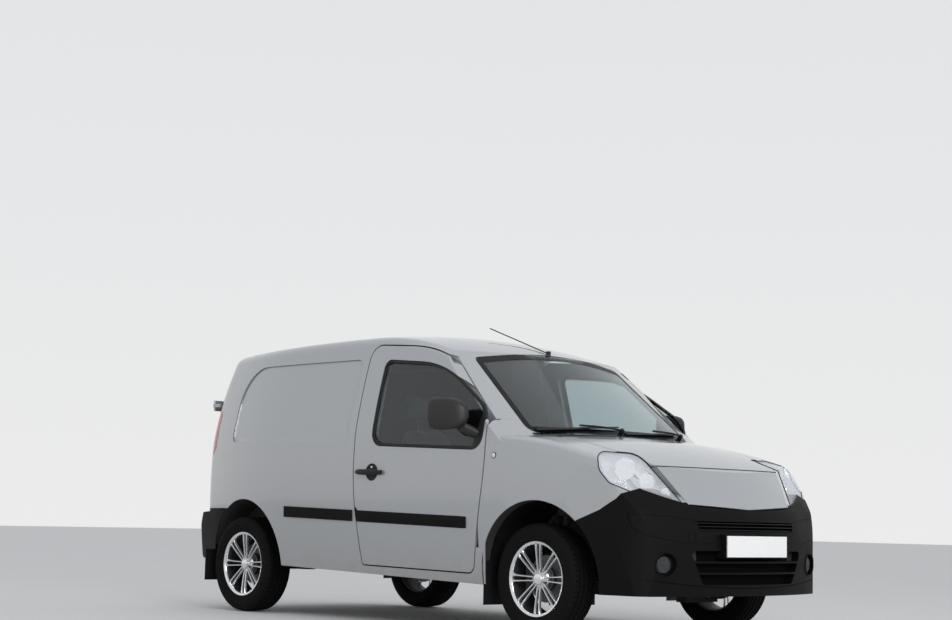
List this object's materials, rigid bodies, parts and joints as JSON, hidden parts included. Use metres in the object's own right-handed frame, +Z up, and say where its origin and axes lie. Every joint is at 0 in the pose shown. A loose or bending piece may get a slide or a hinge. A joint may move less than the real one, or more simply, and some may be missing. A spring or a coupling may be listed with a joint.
{
  "type": "panel van",
  "caption": "Small two-seat panel van with a closed load space, short bonnet, hinged cab doors, twin rear doors and steered front wheels.",
  "frame": {"origin": "on the ground, at mid length and mid width", "axes": "+X forward to the nose, +Y to the left side, +Z up"},
  "size_m": [4.213, 2.126, 1.8487],
  "materials": {
    "body_paint": "light silver grey metallic paint under clear coat",
    "bumper_plastic": "grained dark grey unpainted plastic",
    "handle_plastic": "black moulded plastic",
    "window_glass": "clear tinted glass",
    "lamp_lens": "clear polycarbonate lens",
    "tail_lens": "red moulded lens",
    "tyre_rubber": "matt black rubber",
    "alloy": "bright painted alloy with a polished lip",
    "chassis_steel": "black undercoated steel",
    "engine_metal": "plain cast metal",
    "tank_plastic": "black moulded plastic",
    "cab_trim": "charcoal grained cab trim",
    "seat_fabric": "dark grey woven seat cloth",
    "plate_white": "blank white plate"
  },
  "bodies": {
    "body": {"antenna": "handle_plastic", "arch_liners": "handle_plastic", "body_side_left": "body_paint", "body_side_right": "body_paint", "bulkhead": "chassis_steel", "cowl": "bumper_plastic", "dashboard": "cab_trim", "engine": "engine_metal", "exhaust": "chassis_steel", "floor_pan": "chassis_steel", "front_bumper": "bumper_plastic", "front_lamps": "lamp_lens", "front_plate": "plate_white", "front_rails": "chassis_steel", "fuel_tank": "tank_plastic", "grille_panel": "body_paint", "radiator": "engine_metal", "rear_axle": "chassis_steel", "rear_bumper": "bumper_plastic", "roof": "body_paint", "seats": "seat_fabric", "side_mouldings": "bumper_plastic", "spare_wheel": "tank_plastic", "subframe": "chassis_steel", "tail_lamps": "tail_lens", "windscreen": "window_glass", "wings": "body_paint"},
    "door_right_body": {"door_right": "body_paint", "door_glass_right": "window_glass", "door_trim_right": "bumper_plastic", "mirror_right": "bumper_plastic"},
    "door_left_body": {"door_left": "body_paint", "door_glass_left": "window_glass", "door_trim_left": "bumper_plastic", "mirror_left": "bumper_plastic"},
    "rear_door_right_body": {"rear_door_right": "body_paint"},
    "rear_door_left_body": {"rear_door_left": "body_paint"},
    "bonnet_body": {"bonnet": "body_paint"},
    "steer_right": {"knuckle_right": "chassis_steel"},
    "steer_left": {"knuckle_left": "chassis_steel"},
    "wheel_front_right": {"rim_front_right": "alloy", "tyre_front_right": "tyre_rubber"},
    "wheel_front_left": {"rim_front_left": "alloy", "tyre_front_left": "tyre_rubber"},
    "wheel_rear_right": {"rim_rear_right": "alloy", "tyre_rear_right": "tyre_rubber"},
    "wheel_rear_left": {"rim_rear_left": "alloy", "tyre_rear_left": "tyre_rubber"},
    "steering_wheel_body": {"steering_wheel": "cab_trim"}
  },
  "joints": [
    {"name": "door_right_swing", "type": "hinge", "parent": "body", "child": "door_right_body", "pos_m": [0.811, -0.896, 0.8], "axis": [0, 0, 1], "range_deg": [0, 68]},
    {"name": "door_left_swing", "type": "hinge", "parent": "body", "child": "door_left_body", "pos_m": [0.811, 0.896, 0.8], "axis": [0, 0, -1], "range_deg": [0, 68]},
    {"name": "rear_door_right_swing", "type": "hinge", "parent": "body", "child": "rear_door_right_body", "pos_m": [-2.08, -0.676, 1], "axis": [0, 0, 1], "range_deg": [0, 90]},
    {"name": "rear_door_left_swing", "type": "hinge", "parent": "body", "child": "rear_door_left_body", "pos_m": [-2.08, 0.676, 1], "axis": [0, 0, -1], "range_deg": [0, 90]},
    {"name": "bonnet_lift", "type": "hinge", "parent": "body", "child": "bonnet_body", "pos_m": [1.228, 0, 1.084], "axis": [0, -1, 0], "range_deg": [0, 60]},
    {"name": "steer_right_turn", "type": "hinge", "parent": "body", "child": "steer_right", "pos_m": [1.2315, -0.69, 0.19], "axis": [0, 0.1933, 0.9811], "range_deg": [-35, 35]},
    {"name": "steer_left_turn", "type": "hinge", "parent": "body", "child": "steer_left", "pos_m": [1.2315, 0.69, 0.19], "axis": [0, -0.1933, 0.9811], "range_deg": [-35, 35]},
    {"name": "steering_wheel_turn", "type": "hinge", "parent": "body", "child": "steering_wheel_body", "pos_m": [0.64, 0.39, 0.912], "axis": [-0.9205, 0, 0.3907], "range_deg": [-560, 560]},
    {"name": "wheel_front_right_spin", "type": "hinge", "parent": "steer_right", "child": "wheel_front_right", "pos_m": [1.2315, -0.7605, 0.308], "axis": [0, 1, 0], "continuous": true},
    {"name": "wheel_front_left_spin", "type": "hinge", "parent": "steer_left", "child": "wheel_front_left", "pos_m": [1.2315, 0.7605, 0.308], "axis": [0, 1, 0], "continuous": true},
    {"name": "wheel_rear_right_spin", "type": "hinge", "parent": "body", "child": "wheel_rear_right", "pos_m": [-1.4655, -0.7665, 0.308], "axis": [0, 1, 0], "continuous": true},
    {"name": "wheel_rear_left_spin", "type": "hinge", "parent": "body", "child": "wheel_rear_left", "pos_m": [-1.4655, 0.7665, 0.308], "axis": [0, 1, 0], "continuous": true}
  ],
  "couplings": [
    {"joint": "steer_left_turn", "follows": "steer_right_turn", "ratio": 1},
    {"joint": "steering_wheel_turn", "follows": "steer_right_turn", "ratio": 16}
  ]
}
